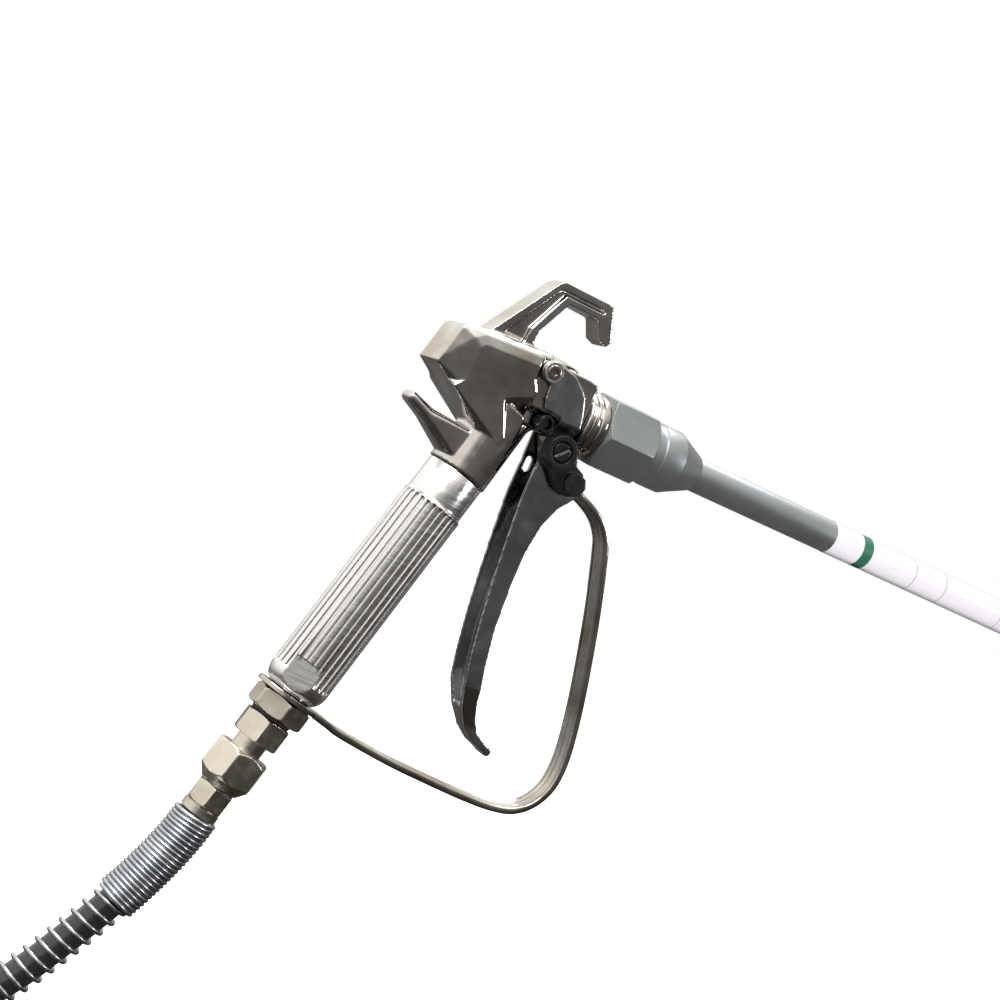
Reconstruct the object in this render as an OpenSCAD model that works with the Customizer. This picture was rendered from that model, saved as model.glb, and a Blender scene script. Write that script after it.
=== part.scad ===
// Airless paint spray gun with a swivel hose fitting, a guarded whip hose and an extension pole.
// Row frame: origin at the centre of the grip, +X the way the paint leaves, +Y left, +Z up.
// The spray frame has its origin where the grip's axis crosses the spray axis, with X along the spray.
// The grip frame has its origin at the grip's centre and Z up along the grip's axis.

/* [Gun] */
// Lean of the grip, back from square to the spray axis, degrees
grip_lean = 15.5; // [12:0.5:18]
// Distance from the grip's centre up to the spray axis
grip_reach = 100; // [95:1:105]
// Diameter of the fluted grip
grip_d = 27; // [26:0.5:29]
// Number of flutes round the grip
flutes = 28; // [20:1:36]
// Width of the head casting
head_w = 26; // [24:1:28]
// Thickness of the hanging hook
hook_w = 12; // [10:1:14]

/* [Trigger] */
// Width of the trigger blade
blade_w = 16; // [14:1:18]
// Thickness of the trigger's steel sheet
sheet = 1.6; // [1.2:0.1:2]
// Width of the trigger guard's strip
strip_w = 11; // [9:1:13]

/* [Pole] */
// Length of the pole from the rear of its nut to its end face
pole_l = 300; // [290:10:400]
// Diameter of the pole's tube
tube_d = 15; // [14:0.5:16]
// Width of the pole's nut across its flats
nut_af = 29.5; // [28:0.5:31]
// Length of the printed label
label_l = 125; // [80:5:130]

/* [Hose] */
// Outer diameter of the hose
hose_d = 12; // [10:1:12]
// Outer diameter of the close-wound end of the spring guard
guard_d = 20; // [18:1:22]
// Radius of the put-away coil at the middle of the hose
coil_r = 62; // [60:1:64]

/* [Hidden] */
$fn = 64;

clear = 0.05;                       // running clearance of a moving fit, on the radius
grip_r = grip_d / 2;
head_y = head_w / 2;
cheek_y = head_y - 1.7;             // half width of the head's front, between the trigger's ears
ear_y = cheek_y + 0.4;              // inner face of an ear
tube_r = tube_d / 2;
hose_r = hose_d / 2;

pivot = [4.6, 12.6];                // trigger pivot, X and Z in the spray frame
knob = [20.6, -15.8];               // turning axis of the trigger lock
pull = [11.6, -7.6];                // pull pin at rest
pull_travel = 5.4;                  // how far a full pull draws the needle back
guard_eye = [32.5, -18.8];          // screw that holds the guard's front end

// Heights along the grip's axis, in the grip frame
neck_h = 58;
flute_top = 41.5;
flute_low = -46;
grip_low = -53.5;
ring_t = 2.2;
nut1_low = -64.5;
hex2_low = -76.5;
hose_nut_top = -82;
hose_nut_low = -99.5;
stem_low = -113;

// Places along the spray axis, in the spray frame
head_front = 28.2;
nut_x = 38.6;
nut_l = 26;
collar_x = nut_x + nut_l;
step_l = 4.4;
band_l = 10.6;
cone_end = collar_x + step_l + band_l + 13.1;
pole_end_x = nut_x + pole_l;
label_x = 173;
tip_x = pole_end_x + 24;

// Route of the hose from the end of its stem to the coil, X and Z in the row frame, in the plane Y = 0
coil_z = -234;
coil_x = -166;
along_grip = [sin(grip_lean), cos(grip_lean)];
route = [
    stem_low * along_grip, (stem_low - 8) * along_grip, [-36, -126.5], [-40.5, -136.5], [-46, -147],
    [-54, -160.5], [-62.5, -174], [-72.5, -188.5], [-88, -206], [-107, -221], [-129, -231], [-149, -234],
    [coil_x, coil_z]
];
tight_end = 4;                      // route point where the close-wound spring ends
open_end = 9;                       // route point where the open-wound spring ends

module at_spray() translate([grip_reach * sin(grip_lean), 0, grip_reach * cos(grip_lean)]) children();
module at_grip() rotate([0, grip_lean, 0]) children();

// Shape drawn in X and Z, made w thick across Y about the middle plane
module across(w) rotate([90, 0, 0]) linear_extrude(w, center = true) children();

// Round bar of radius r along X from x0, l long
module bar_x(x0, l, r) translate([x0, 0, 0]) rotate([0, 90, 0]) cylinder(l, r = r);

// Round bar of radius r across the gun, at p in X and Z, from y0 to y1
module bar_y(p, y0, y1, r) translate([p.x, y1, p.y]) rotate([90, 0, 0]) cylinder(y1 - y0, r = r);

// Turned shape along X: its outline's first number is the radius and its second the place along X
module turned_x(outline) rotate([0, 90, 0]) rotate_extrude() polygon(outline);

// Hexagon bar along Z from z0 to z1 with corners cut at cut degrees, first corner at turn degrees
module hex_nut(af, z0, z1, turn = 0, bevel = 0.9) rotate(turn) intersection() {
    translate([0, 0, z0]) cylinder(z1 - z0, r = af / sqrt(3), $fn = 6);
    rotate_extrude() polygon([
        [0, z0], [af / 2 - 0.2, z0], [af / sqrt(3), z0 + bevel],
        [af / sqrt(3), z1 - bevel], [af / 2 - 0.2, z1], [0, z1]
    ]);
}

// Direction of the line p at its point i, and the ring of points round it there
function heading(p, i) = let (
    a = p[max(i - 1, 0)], b = p[min(i + 1, len(p) - 1)], d = b - a
) d / norm(d);
function ring(p, i, r, sides) = let (t = heading(p, i)) [
    for (k = [0:sides - 1]) let (a = 360 * (k + 0.5) / sides)
        [p[i].x + r * cos(a) * t.y, r * sin(a), p[i].y - r * cos(a) * t.x]
];

// Closed tube of radius r swept along p
module sweep(p, r, sides = 12) {
    n = len(p);
    points = [for (i = [0:n - 1]) each ring(p, i, r, sides)];
    walls = [
        for (i = [0:n - 2], k = [0:sides - 1]) let (m = (k + 1) % sides)
            [i * sides + k, (i + 1) * sides + k, (i + 1) * sides + m, i * sides + m]
    ];
    first = [for (k = [0:sides - 1]) k];
    last = [for (k = [sides - 1:-1:0]) (n - 1) * sides + k];
    polyhedron(points, concat([first], walls, [last]), convexity = 6);
}
function part_of(p, a, b) = [for (i = [a:b]) p[i]];

// ---- Head casting ----

// Side outlines of the chamfered block, from its narrow middle out to its two side faces, and of the rib under it
block_mid = [[-43, -2.4], [-38.4, 14.4], [-36.6, 15.5], [-26, 17.5], [4, 19.4], [4, 1.2], [-4, -10], [-21, -17]];
block_edge = [[-32.4, -6.6], [-32.4, 12.2], [-28.4, 15], [4, 16.6], [4, 1.2], [-4, 1.2], [-12, -7], [-24, -13]];
block_side = [[-29.2, -7], [-29.2, 9.2], [-26.8, 11.2], [4, 12.8], [4, 1.2], [-5, 1.2], [-12, -6], [-24, -11.4]];
rib_mid = [[-37, -6.5], [-20, -17.5], [-7.6, -26.4], [-2.6, -22.6], [-6, -2]];
rib_side = [[-33.4, -8.8], [-29.2, -4.8], [-10.8, -4.8], [-4, -20.4], [-5.6, -23.4]];

// Hook that hangs the gun on a pail's rim: a bar bent twice, recessed on both sides
hook_line = [
    [-27, 15], [-4.6, 47], [-2, 49], [22.6, 48.6], [28, 34.4], [26.2, 31.8], [22, 33.2], [18.2, 40.6],
    [3.4, 41], [-4.6, 26], [-5, 21], [-2, 16]
];
hook_web = [[-19, 19.5], [-3.6, 43.6], [-1.4, 45.6], [20.2, 45.6], [19.8, 43.8], [0.8, 43.8], [-8.6, 25.4], [-9, 19.5]];

module block() hull() {
    across(2 * 9.3) polygon(block_mid);
    across(2 * head_y - 2) polygon(block_edge);
    across(2 * head_y) polygon(block_side);
}

module rib() hull() {
    across(2 * 8.5) polygon(rib_mid);
    across(2 * head_y) polygon(rib_side);
}

module cheeks() intersection() {
    across(2 * cheek_y) polygon([
        [-6, 19.6], [12.6, 19.6], [20.4, 16.9], [head_front, 15.4], [head_front, -11.6], [10.4, -11.6],
        [4, -20], [-6, -20]
    ]);
    bar_x(-8, head_front + 8, 19.7);
    // below the ears the front is narrow enough to stand inside the blade
    rotate([90, 0, 90]) linear_extrude(80, center = true) polygon([
        [-cheek_y, 30], [cheek_y, 30], [cheek_y, -4], [blade_y - sheet - 0.5, -9.4], [blade_y - sheet - 0.5, -30],
        [sheet + 0.5 - blade_y, -30], [sheet + 0.5 - blade_y, -9.4], [-cheek_y, -4]
    ]);
}

module tang() {
    hull() {
        for (y = [-2.6, 2.6]) translate([-43.4, y, -19.6]) sphere(2.4, $fn = 32);
        for (y = [-3.2, 3.2]) translate([-34.5, y, -23.4]) sphere(3, $fn = 32);
    }
    hull() {
        for (y = [-3.2, 3.2]) translate([-34.5, y, -23.4]) sphere(3, $fn = 32);
        rotate([0, grip_lean, 0]) translate([-1.5, 0, -40]) cylinder(14, r = 10.5);
    }
}

module hook() difference() {
    across(hook_w) polygon(hook_line);
    for (side = [-1, 1]) translate([0, side * hook_w / 2, 0]) across(5) polygon(hook_web);
}

module head() color("silver") difference() {
    union() {
        at_spray() {
            block();
            rib();
            cheeks();
            hook();
            tang();
            // lug for the guard's screw
            across(9.6) polygon([[18, -12], [22, -20], [27, -22.8], [36, -22.8], [36.4, -14.9], [28, -14.9], [28, -12]]);
        }
        // neck, round where the grip enters it and flat-sided above
        at_grip() hull() {
            translate([0, 0, neck_h]) cylinder(0.8, r = 13.4);
            for (x = [-2.8, 2.8], y = [-3.4, 3.4]) translate([x, y, neck_h + 8]) cylinder(26, r = 9);
        }
    }
    at_spray() {
        bar_x(-34.5, 72, 5);
        bar_x(16.3, 20, 9);
        // chamber that the yoke slides in, open below
        translate([pull.x - 4 - pull_travel, -4.6, pull.y - 4]) cube([8.4 + pull_travel, 9.2, 12]);
        // slot for the pull pin, through both cheeks, wider where its rollers run
        translate([pull.x - 2.7 - pull_travel, -20, pull.y - 2.7]) cube([5.4 + pull_travel, 40, 5.4]);
        for (side = [-1, 1]) translate([pull.x - 4 - pull_travel, side * 17.2 - 10, pull.y - 4])
            cube([8 + pull_travel, 20, 8]);
        // the sides step in ahead of the block, so the ears can swing
        for (side = [-1, 1]) translate([0, side * (cheek_y + 5), 0]) across(10)
            polygon([[1.6, -30], [1.6, 2.5], [-0.8, 6.5], [-0.8, 21], [30, 21], [30, -30]]);
        bar_y(pivot, -20, 20, 2.5);
        // fork for the guard's eye, and its screw hole
        translate([27.5, -strip_w / 2 + 1.6, -24]) cube([10, strip_w - 3.2, 11.2]);
        bar_y(guard_eye, -10, 10, 2);
        // shallow field on the rear face
        translate([-42.6, 0, 5.6]) rotate([0, grip_lean, 0]) cube([1.6, 9, 9], center = true);
    }
    at_grip() {
        translate([0, 0, neck_h - 1]) cylinder(13, r = 11);
        translate([0, 0, neck_h]) cylinder(grip_reach - neck_h, r = 4);
    }
}

// ---- Grip, filter and guard ----

module grip() color("gainsboro") at_grip() difference() {
    union() {
        rotate_extrude() polygon([
            [0, grip_low], [grip_r - 3.2, grip_low], [grip_r - 1.2, flute_low - 5], [grip_r - 0.3, flute_low - 2.4],
            [grip_r, flute_low - 0.4], [grip_r, flute_top], [grip_r - 1, flute_top + 0.7],
            [grip_r - 1, neck_h - 0.1], [0, neck_h - 0.1]
        ]);
        cylinder(neck_h + 9, r = 10.9);
    }
    translate([0, 0, grip_low - 1]) cylinder(118, r = 7.8);
    cylinder(neck_h + 20, r = 5);
    translate([0, 0, grip_low - 1]) cylinder(14, r = 8.6);
    // flutes
    for (k = [0:flutes - 1]) rotate(360 * (k + 0.5) / flutes)
        translate([grip_r + 0.35, 0, flute_low]) cylinder(flute_top - flute_low, r = 1.15, $fn = 16);
    // two wrench flats at the foot
    for (turn = [-117, 63]) rotate(turn) translate([grip_r - 1.7, -12, grip_low - 1])
        cube([5, 24, flute_low - grip_low + 8]);
}

module grip_seal() color("dimgray") at_grip() translate([0, 0, neck_h + 9.3]) difference() {
    cylinder(1.6, r = 10.6);
    translate([0, 0, -1]) cylinder(4, r = 5);
}

module filter_mesh() color("lightgray") at_grip() difference() {
    translate([0, 0, -44]) cylinder(92, r = 6.4);
    translate([0, 0, -45]) cylinder(94, r = 5.6);
}

module filter_core() color("white") at_grip() {
    translate([0, 0, -44]) cylinder(92, r = 3);
    translate([0, 0, -47]) cylinder(2.9, r = 6.8);
    translate([0, 0, 48.1]) cylinder(2.9, r = 6.8);
    translate([0, 0, -46]) cylinder(4, r = 3);
    translate([0, 0, 46]) cylinder(4, r = 3);
}

// Middle line of the guard's strip in the spray frame, from its foot at the ring to its front eye
guard_line = [
    [-14.6, -156.6], [10, -160.8], [33, -163.4], [50, -164.9], [63.5, -165.3], [74, -163.8], [82, -158.8], [87.2, -151],
    [89, -142], [88.3, -130], [84.7, -111], [79.3, -89.6], [73.6, -69.5], [66, -47], [62.8, -40.4], [57.6, -35],
    [51, -31.4], [44, -28.6], [38.6, -24.6], [35, -20.6], [33, -17]
];
guard_t = 3;                        // thickness at the strip's raised edges

// Outline of a strip t thick along the line p
function side_of(p, i, off) = let (t = heading(p, i)) p[i] + off * [-t.y, t.x];
module strip(p, t) polygon(concat(
    [for (i = [0:len(p) - 1]) side_of(p, i, t / 2)], [for (i = [len(p) - 1:-1:0]) side_of(p, i, -t / 2)]
));

module trigger_guard() color("silver") {
    at_spray() difference() {
        union() {
            // bed of the channel, and its two raised edges
            across(strip_w) strip(guard_line, 1.6);
            for (side = [-1, 1]) translate([0, side * (strip_w / 2 - 0.9), 0]) across(1.8)
                strip(part_of(guard_line, 0, 16), guard_t);
            bar_y(guard_eye, -strip_w / 2 + 2, strip_w / 2 - 2, 3.6);
        }
        bar_y(guard_eye, -10, 10, 2);
        // front end is narrowed to fit its fork
        for (side = [-1, 1]) translate([26, side * 7.6 - 4, -30]) cube([14.6, 8, 20]);
    }
    at_grip() difference() {
        union() {
            translate([0, 0, grip_low - ring_t]) cylinder(ring_t - 0.02, r = 14);
            translate([4, -strip_w / 2, grip_low - ring_t]) cube([14, strip_w, ring_t - 0.02]);
            hull() {
                translate([16, -strip_w / 2, grip_low - ring_t]) cube([2, strip_w, ring_t - 0.02]);
                translate([29, -strip_w / 2, grip_low - 2]) cube([1.4, strip_w, 1.6]);
            }
        }
        translate([0, 0, grip_low - 10]) cylinder(20, r = 8.7);
    }
}

module guard_screw() color("silver") at_spray() {
    bar_y(guard_eye, -5.9, 5.9, 1.98);
    bar_y(guard_eye, -6.1, -4.85, 3.4);
}

// ---- Trigger and lock ----

// Side outline of the trigger's two flanges, ears on top
trigger_side = [
    [4.6, 17.2], [9.3, 16.4], [15.6, 15], [21.4, 11], [23.4, 8.6], [26, 1.3], [27.3, -5.6], [27.6, -13.6],
    [31, -16.4], [35.6, -20], [40.6, -26.4], [40.2, -31.2], [34.6, -37.6], [30.6, -46.8], [28.7, -59], [28.7, -76],
    [29.8, -94], [32.6, -110], [36.4, -125], [39.8, -132.6], [43.8, -137.8], [52, -142.2], [51, -145.4],
    [42.8, -142], [36.6, -137.4], [31.2, -130], [27, -120], [24.4, -108], [21.8, -91], [19.8, -74],
    [18.2, -56], [16.8, -37], [17.3, -25], [17.2, -15], [17, -10], [16.2, -3.2], [8.2, -2.6], [6.4, 1.6], [6, 8]
];

// Front to back cut that leaves the flanges and the front web
module hollow_cut() polygon([
    [50, 30], [50, -26.4], [38.8, -30.2], [33, -37], [28.9, -46.4], [27, -58.8], [27, -76], [28.1, -94.2],
    [30.9, -110.4], [34.6, -125.4], [36, -128.8], [10, -129], [-10, -60], [-10, 30]
]);

// Cross-section of the bent sheet, Y across and Z up: ears stand wider than the blade
ear_out = ear_y + sheet;
blade_y = blade_w / 2;
step_in = ear_out - blade_y;        // the ears slope in to the blade at 45 degrees
module sheet_wrap() rotate([90, 0, 90]) linear_extrude(140, center = true) polygon([
    [-ear_out, 30], [ear_out, 30], [ear_out, -4.4], [blade_y, -4.4 - step_in], [blade_y, -120], [4.5, -136],
    [4.5, -150], [-4.5, -150], [-4.5, -136], [-blade_y, -120], [-blade_y, -4.4 - step_in], [-ear_out, -4.4]
]);
module sheet_core() rotate([90, 0, 90]) linear_extrude(140, center = true) polygon([
    [-ear_y, 31], [ear_y, 31], [ear_y, -3.7], [blade_y - sheet, -3.7 - step_in], [blade_y - sheet, -118],
    [3, -130], [-3, -130], [-blade_y + sheet, -118], [-blade_y + sheet, -3.7 - step_in], [-ear_y, -3.7]
]);

module trigger() color("dimgray") at_spray() difference() {
    intersection() {
        union() {
            across(40) polygon(trigger_side);
            bar_y([51.2, -143.6], -5, 5, 2);
            bar_y(pivot, -20, 20, 4.7);
        }
        sheet_wrap();
    }
    intersection() {
        across(40) hollow_cut();
        sheet_core();
    }
    bar_y(pivot, -20, 20, 3 + clear);
    // hole for the lock's shaft in the near flange, and its twin slot in the far one
    bar_y(knob, -20, 0, 2.5 + clear);
    for (z = [-2, 2]) bar_y([20.6, -25 + z], 0, 20, 1.4);
    translate([19.2, 0, -27]) cube([2.8, 20, 4]);
}

module pivot_screws() color("silver") at_spray() for (side = [-1, 1]) {
    bar_y(pivot, side > 0 ? 6 : -15.2, side > 0 ? 15.2 : -6, 2.48);
    bar_y(pivot, side > 0 ? cheek_y + 0.25 : -15.2, side > 0 ? 15.2 : -cheek_y - 0.25, 3);
}

module pivot_collars() color("gainsboro") at_spray() for (side = [-1, 1]) difference() {
    bar_y(pivot, side > 0 ? ear_out + 0.1 : -ear_out - 1.5, side > 0 ? ear_out + 1.5 : -ear_out - 0.1, 4.4);
    bar_y(pivot, -20, 20, 3.02);
}

lock_y = blade_y + 0.35;            // inner face of the lock's plate, outside the near flange
module lock_lever() color("#1c1c1c") at_spray() difference() {
    union() {
        translate([0, -lock_y - 1.6, 0]) across(3.2) polygon([
            [14.4, -18.6], [16, -12.6], [20.4, -10.2], [26, -12], [32, -17.8], [37.4, -20.4], [39.4, -24], [38.4, -29],
            [33.8, -31.8], [28, -30.6], [21, -24], [16.4, -22.8]
        ]);
        bar_y(knob, -18.6, -lock_y - 3, 7);
        bar_y([34.2, -25.8], -14.6, -lock_y - 3, 5.2, $fn = 8);
        bar_y(knob, -lock_y - 1, -5.3, 2.5);
        bar_y(knob, -6.3, -5.2, 3.6);
    }
    bar_y(knob, -30, -16.8, 4.7);
    bar_y(knob, -18, -8, 1.3);
}

module lock_screw() color("dimgray") at_spray() difference() {
    union() {
        bar_y(knob, -18, -16.82, 4);
        bar_y(knob, -16.9, -8.5, 1.28);
    }
    translate([knob.x, -17.8, knob.y]) rotate([0, -43, 0]) cube([9, 1.4, 1.3], center = true);
}

// ---- Needle group ----

module pull_pin() color("gray") at_spray() bar_y(pull, -ear_y + 0.5, ear_y - 0.5, 2.4);

module pull_rollers() color("#222222") at_spray() for (side = [-1, 1]) difference() {
    bar_y(pull, side > 0 ? 7.4 : -ear_y - 1.2, side > 0 ? ear_y + 1.2 : -7.4, 3.6);
    bar_y(pull, -20, 20, 2.42);
}

module needle() color("gray") at_spray() bar_x(-28, 53.4, 1.9);

module needle_ball() color("lightgray") at_spray() translate([26.8, 0, 0]) sphere(2.7);

module needle_yoke() color("gray") at_spray() difference() {
    translate([pull.x - 3.6, -4.2, pull.y - 3.4]) cube([7.2, 8.4, 11.2]);
    bar_x(0, 20, 1.92);
    bar_y(pull, -20, 20, 2.42);
}

spring_end = -34.4;                  // rear end of the needle spring, against the bore's floor
module needle_spring() color("silver") at_spray() difference() {
    bar_x(spring_end, pull.x - 3.7 - spring_end, 4.4);
    bar_x(spring_end - 1, 60, 3.2);
}

module packing() color("whitesmoke") at_spray() difference() {
    bar_x(16.4, 2.2, 8.9);
    bar_x(15, 10, 1.9 + clear);
}

// ---- Seat and its housing ----

module seat_housing() color("silver") at_spray() difference() {
    turned_x([
        [0, 18.7], [8.9, 18.7], [8.9, 28.25], [13.6, 28.25], [14.3, 28.8], [14.3, 30], [13.2, 30.6], [13.2, 31.4],
        [14.3, 32], [14.3, 33.4], [13.2, 34], [13.2, 34.8], [14, 35.4], [14, 37.8], [13.2, 38.5], [11, 38.5],
        [11, 52], [10, 53], [0, 53]
    ]);
    bar_x(18, 12, 4.6);
    bar_x(29.9, 3.4, 6);
    bar_x(18, 40, 2.2);
    bar_x(33, 30, 4.4);
}

module seat() color("dimgray") at_spray() difference() {
    bar_x(29.95, 2.6, 5.9);
    bar_x(20, 20, 1.4);
    translate([26.8, 0, 0]) sphere(3.1);
}

module seat_gasket() color("white") at_spray() difference() {
    bar_x(32.56, 0.7, 5.9);
    bar_x(20, 20, 2.2);
}

// ---- Swivel and hose fittings ----

module swivel_nut() color("tan") at_grip() difference() {
    union() {
        hex_nut(22.5, nut1_low, grip_low - ring_t, 25);
        translate([0, 0, nut1_low + 1]) cylinder(16, r = 8.5);
    }
    translate([0, 0, nut1_low - 1]) cylinder(30, r = 5.6);
}

module swivel_ring() color("dimgray") at_grip() difference() {
    translate([0, 0, nut1_low - 1.4]) cylinder(1.2, r = 9);
    translate([0, 0, nut1_low - 3]) cylinder(4, r = 5.7);
}

module swivel_body() color("tan") at_grip() difference() {
    union() {
        hex_nut(19, hex2_low, nut1_low - 1.6, 12);
        translate([0, 0, hex2_low - 12]) cylinder(13, r = 6.6);
        translate([0, 0, nut1_low - 2]) cylinder(16, r = 5.6 - clear);
    }
    translate([0, 0, hex2_low - 13]) cylinder(50, r = 2.6);
}

module hose_nut() color("tan") at_grip() difference() {
    union() {
        hex_nut(22, hose_nut_low + 3.5, hose_nut_top, 1, 1.8);
        translate([0, 0, hose_nut_low]) cylinder(4, r1 = 8.2, r2 = 10.7);
    }
    translate([0, 0, hose_nut_top - 6.6]) cylinder(10, r = 6.62);
    translate([0, 0, hose_nut_low - 1]) cylinder(20, r = 5.2);
}

module hose_stem() color("tan") at_grip() difference() {
    union() {
        translate([0, 0, hose_nut_low - 1]) cylinder(10.3, r = 5.1);
        hex_nut(15, stem_low + 4, hose_nut_low - 0.1, 8);
        translate([0, 0, stem_low]) cylinder(4.5, r = 8);
    }
    translate([0, 0, stem_low - 1]) cylinder(40, r = 2.4);
}

// ---- Hose and its spring guard ----

module spring_tight() color("lightsteelblue") difference() {
    sweep(part_of(route, 0, tight_end), guard_d / 2, 24);
    sweep(concat([route[0] * 2 - route[1]], part_of(route, 0, tight_end + 1)), hose_r + 0.5, 12);
}

module spring_open() color("lightsteelblue") difference() {
    sweep(part_of(route, tight_end, open_end), hose_r + 2, 24);
    sweep(part_of(route, tight_end - 1, open_end + 1), hose_r + 0.5, 12);
}

module hose() color("#151515") sweep(route, hose_r, 12);

module hose_coil() color("#151515") translate([coil_x, coil_r, coil_z]) {
    rotate_extrude() translate([coil_r, 0]) {
        circle(hose_r, $fn = 24);
        translate([-hose_r, 0]) square([hose_d, hose_d]);
        translate([0, hose_d]) circle(hose_r, $fn = 24);
    }
    // third layer goes half way round
    rotate([0, 0, 90]) rotate_extrude(angle = 180) translate([coil_r, 0]) {
        translate([-hose_r, hose_d]) square([hose_d, hose_d + 1.5]);
        translate([0, 2 * hose_d + 1.5]) circle(hose_r, $fn = 24);
    }
}

module coil_tie() color("#303030") translate([coil_x - coil_r, coil_r, coil_z]) difference() {
    translate([-hose_r - 1.6, -6, -hose_r]) cube([hose_d + 3.2, 12, 3 * hose_d + 3]);
    translate([-hose_r - 0.35, -7, -hose_r - 1]) cube([hose_d + 0.7, 14, 3 * hose_d + 2.6]);
}

// The far fitting lies on the coil, past the end of the top layer
module at_far() translate([coil_x, 2 * coil_r, coil_z + 2 * hose_d + 4]) rotate([0, 90, 0]) children();

module far_stem() color("tan") at_far() difference() {
    union() {
        cylinder(17, r = 7.5);
        translate([0, 0, 16]) cylinder(12, r = 5);
    }
    translate([0, 0, -1]) cylinder(34, r = 2.4);
}

module far_nut() color("tan") at_far() difference() {
    hex_nut(18, 22, 40, 30, 1.4);
    translate([0, 0, 34]) cylinder(10, r = 6.6);
    translate([0, 0, 20]) cylinder(16, r = 5.06);
}

// ---- Pole ----

module pole_nut() color("slategray") at_spray() difference() {
    // one corner stands seven degrees ahead of the side
    rotate([0, 90, 0]) intersection() {
        rotate(97) translate([0, 0, nut_x]) cylinder(nut_l, r = nut_af / sqrt(3), $fn = 6);
        rotate_extrude() polygon([
            [0, nut_x], [nut_af / 2 - 0.6, nut_x], [nut_af / sqrt(3), nut_x + 1.6],
            [nut_af / sqrt(3), nut_x + nut_l - 2.6], [nut_af / 2 - 0.9, nut_x + nut_l], [0, nut_x + nut_l]
        ]);
    }
    bar_x(nut_x - 1, 20.6, 11.05);
    bar_x(nut_x, nut_l + 1, 9.1);
}

module pole_collar() color("slategray") at_spray() difference() {
    turned_x([
        [0, 53.2], [10.6, 53.2], [10.6, 58], [9, 58], [9, collar_x + 0.1], [13.4, collar_x + 0.1],
        [13.4, collar_x + step_l], [14.1, collar_x + step_l + 0.6], [14.1, collar_x + step_l + band_l],
        [tube_r + 0.1, cone_end], [0, cone_end]
    ]);
    bar_x(50, 80, tube_r + 0.02);
}

module pole_tube() color("slategray") at_spray() difference() {
    bar_x(53.5, pole_end_x - 60.5, tube_r);
    bar_x(50, pole_l + 50, 3);
}

module pole_label() color("white") at_spray() difference() {
    bar_x(label_x, label_l, tube_r + 0.14);
    bar_x(label_x - 1, label_l + 2, tube_r + 0.01);
}

module pole_end() color("slategray") at_spray() difference() {
    union() {
        turned_x([
            [0, pole_end_x - 30], [8.6, pole_end_x - 30], [11, pole_end_x - 27], [11, pole_end_x], [0, pole_end_x]
        ]);
        rotate([0, 90, 0]) hex_nut(24, pole_end_x - 26, pole_end_x - 14, 0, 1.2);
    }
    bar_x(pole_end_x - 40, 33.02, tube_r + 0.02);
    bar_x(pole_end_x - 20, 30, 3);
}

// ---- Tip and tip guard ----

module tip_guard_nut() color("#202020") at_spray() difference() {
    rotate([0, 90, 0]) hex_nut(29, pole_end_x - 12.8, pole_end_x + 6, 0, 1.5);
    bar_x(pole_end_x - 14, 14, 11.05);
    bar_x(pole_end_x - 2, 12, 9.5);
}

module tip_seal() color("black") at_spray() difference() {
    bar_x(pole_end_x + 0.1, 2.8, 9);
    bar_x(pole_end_x - 1, 6, 3);
}

module tip_guard() color("#d8741a") at_spray() difference() {
    union() {
        bar_x(pole_end_x + 3, 5, 9.4);
        bar_x(pole_end_x + 6.1, 6, 13.5);
        translate([tip_x - 12, -10, -10]) cube([20, 20, 20]);
        // two wings keep fingers away from the jet
        for (side = [-1, 1]) hull() {
            translate([tip_x, side * 9 - 1.5, -9]) cube([6, 3, 18]);
            translate([tip_x + 22, side * 15.5 - 1.25, -6]) cube([8, 2.5, 12]);
        }
    }
    translate([tip_x, 0, -20]) cylinder(40, r = 5.5 + clear);
    bar_x(pole_end_x, 30, 3);
    bar_x(tip_x + 4, 12, 6);
}

module spray_tip() color("gray") at_spray() difference() {
    translate([tip_x, 0, -11.5]) cylinder(26, r = 5.5);
    bar_x(tip_x - 8, 16, 0.6);
    bar_x(tip_x + 3, 8, 2.4);
}

module tip_lever() color("#202020") at_spray() {
    translate([tip_x, 0, 14.6]) cylinder(6, r = 6.6);
    hull() {
        translate([tip_x - 3, 0, 17.5]) cube([2, 9, 5.8], center = true);
        translate([tip_x + 15, 0, 17.5]) cube([6, 6, 4.6], center = true);
    }
}

head();
grip();
grip_seal();
filter_mesh();
filter_core();
trigger_guard();
guard_screw();
trigger();
pivot_screws();
pivot_collars();
lock_lever();
lock_screw();
pull_pin();
pull_rollers();
needle();
needle_ball();
needle_yoke();
needle_spring();
packing();
seat_housing();
seat();
seat_gasket();
swivel_nut();
swivel_ring();
swivel_body();
hose_nut();
hose_stem();
spring_tight();
spring_open();
hose();
hose_coil();
coil_tie();
far_stem();
far_nut();
pole_nut();
pole_collar();
pole_tube();
pole_label();
pole_end();
tip_seal();
tip_guard();
tip_guard_nut();
spray_tip();
tip_lever();
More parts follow.
